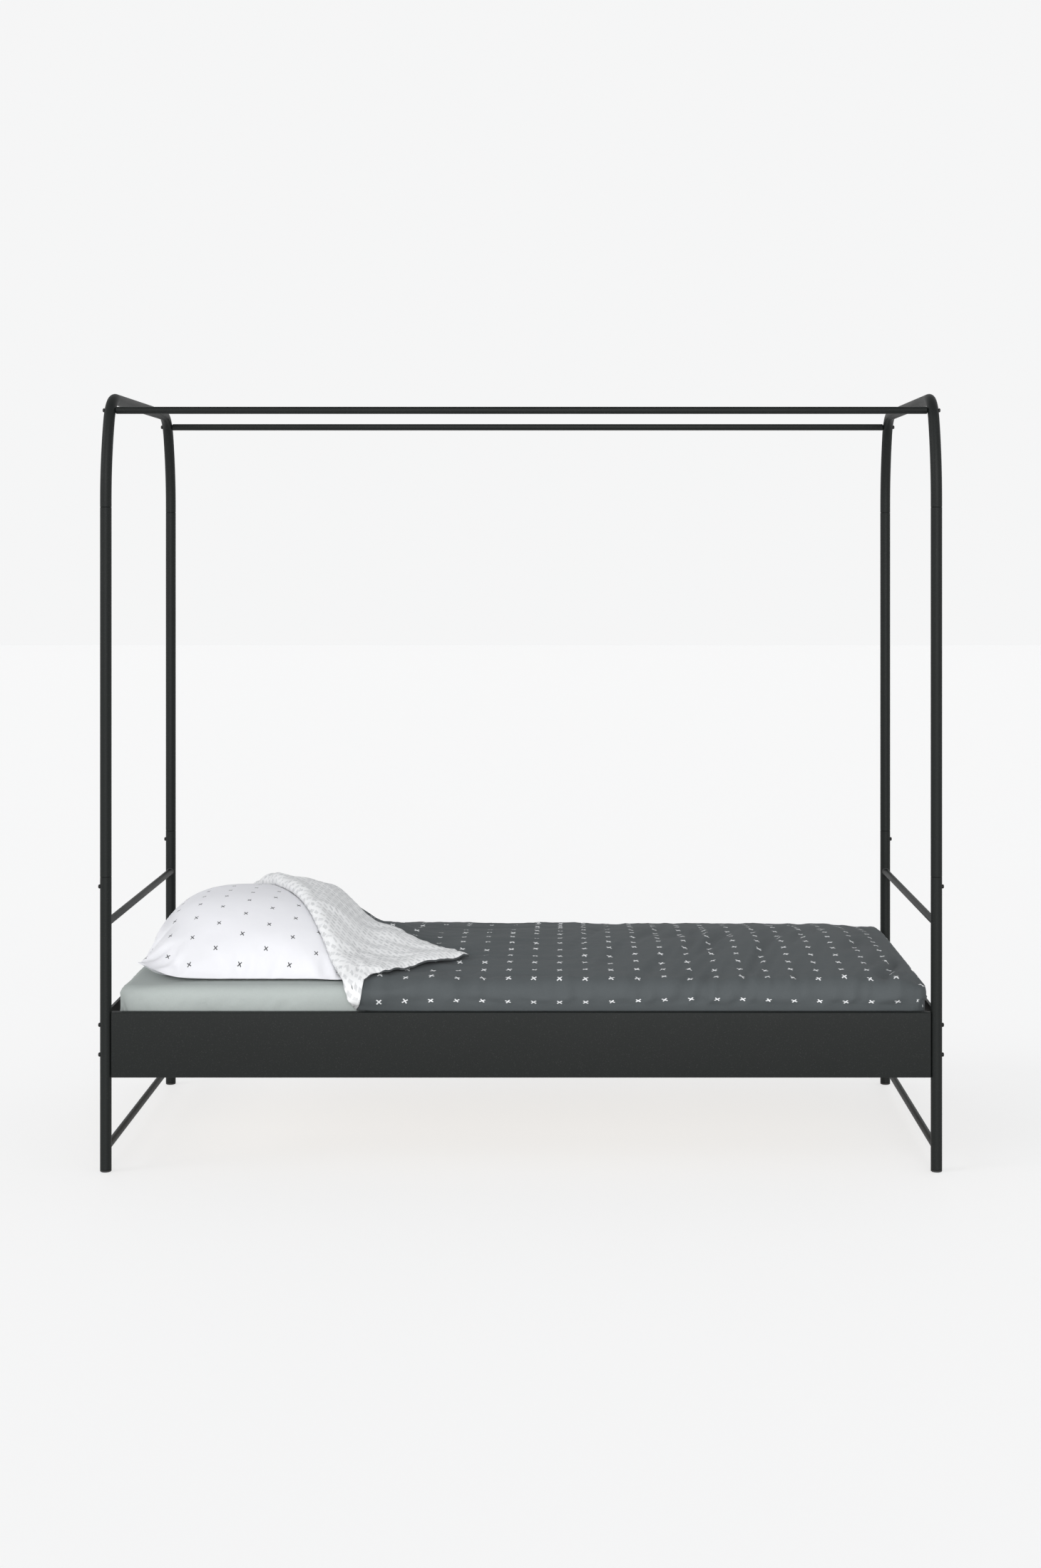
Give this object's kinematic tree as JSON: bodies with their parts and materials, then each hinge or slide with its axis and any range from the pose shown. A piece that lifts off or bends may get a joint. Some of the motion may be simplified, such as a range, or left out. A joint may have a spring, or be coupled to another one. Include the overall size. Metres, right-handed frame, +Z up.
{
  "type": "four poster canopy bed",
  "caption": "Single bed of black steel tube with rounded canopy arches, crossbars and side panels, with slatted base, mattress, pillow and folded-back duvet.",
  "frame": {"origin": "on the floor under the middle of the bed's bounding box", "axes": "+X along the bed towards the foot end, +Y across it towards the back (the side opposite the folded-back duvet corner), +Z up"},
  "size_m": [2.077, 0.958, 1.918],
  "materials": {
    "frame_steel": "matte",
    "bolt_steel": "satin",
    "foot_plastic": "matte",
    "slat_wood": "matte",
    "mattress_ticking": "matte",
    "sheet_cotton": "matte",
    "pillow_cotton": "matte",
    "duvet_cotton": "matte"
  },
  "bodies": {
    "bed_frame": {"lower_post_head_front": "frame_steel", "lower_post_head_back": "frame_steel", "lower_post_foot_front": "frame_steel", "lower_post_foot_back": "frame_steel", "upper_post_head_front": "frame_steel", "upper_post_head_back": "frame_steel", "upper_post_foot_front": "frame_steel", "upper_post_foot_back": "frame_steel", "canopy_arch_head": "frame_steel", "upper_end_tube_head": "frame_steel", "lower_end_tube_head": "frame_steel", "end_rail_head": "frame_steel", "canopy_arch_foot": "frame_steel", "upper_end_tube_foot": "frame_steel", "lower_end_tube_foot": "frame_steel", "end_rail_foot": "frame_steel", "canopy_crossbar_front": "frame_steel", "side_panel_front": "frame_steel", "slat_ledge_front": "frame_steel", "canopy_crossbar_back": "frame_steel", "side_panel_back": "frame_steel", "slat_ledge_back": "frame_steel", "foot_plug_head_front": "foot_plastic", "foot_plug_head_back": "foot_plastic", "foot_plug_foot_front": "foot_plastic", "foot_plug_foot_back": "foot_plastic", "crossbar_bolt_head_front": "bolt_steel", "post_bolt_head_front": "bolt_steel", "crossbar_bolt_head_back": "bolt_steel", "post_bolt_head_back": "bolt_steel", "crossbar_bolt_foot_front": "bolt_steel", "post_bolt_foot_front": "bolt_steel", "crossbar_bolt_foot_back": "bolt_steel", "post_bolt_foot_back": "bolt_steel", "rail_bolt_head_front_upper": "bolt_steel", "rail_bolt_head_front_lower": "bolt_steel", "rail_bolt_head_back_upper": "bolt_steel", "rail_bolt_head_back_lower": "bolt_steel", "rail_bolt_foot_front_upper": "bolt_steel", "rail_bolt_foot_front_lower": "bolt_steel", "rail_bolt_foot_back_upper": "bolt_steel", "rail_bolt_foot_back_lower": "bolt_steel", "slat_01": "slat_wood", "slat_02": "slat_wood", "slat_03": "slat_wood", "slat_04": "slat_wood", "slat_05": "slat_wood", "slat_06": "slat_wood", "slat_07": "slat_wood", "slat_08": "slat_wood", "slat_09": "slat_wood", "slat_10": "slat_wood", "slat_11": "slat_wood", "slat_12": "slat_wood"},
    "mattress": {"mattress": "mattress_ticking", "fitted_sheet": "sheet_cotton"},
    "pillow": {"pillow": "pillow_cotton"},
    "duvet": {"duvet": "duvet_cotton"}
  },
  "joints": [
    {"name": "mattress_lift", "type": "slide", "parent": "bed_frame", "child": "mattress", "axis": [0, 0, 1], "range_m": [0, 0.25]},
    {"name": "pillow_lift", "type": "slide", "parent": "mattress", "child": "pillow", "axis": [0, 0, 1], "range_m": [0, 0.25]},
    {"name": "duvet_lift", "type": "slide", "parent": "pillow", "child": "duvet", "axis": [0, 0, 1], "range_m": [0, 0.4]}
  ]
}
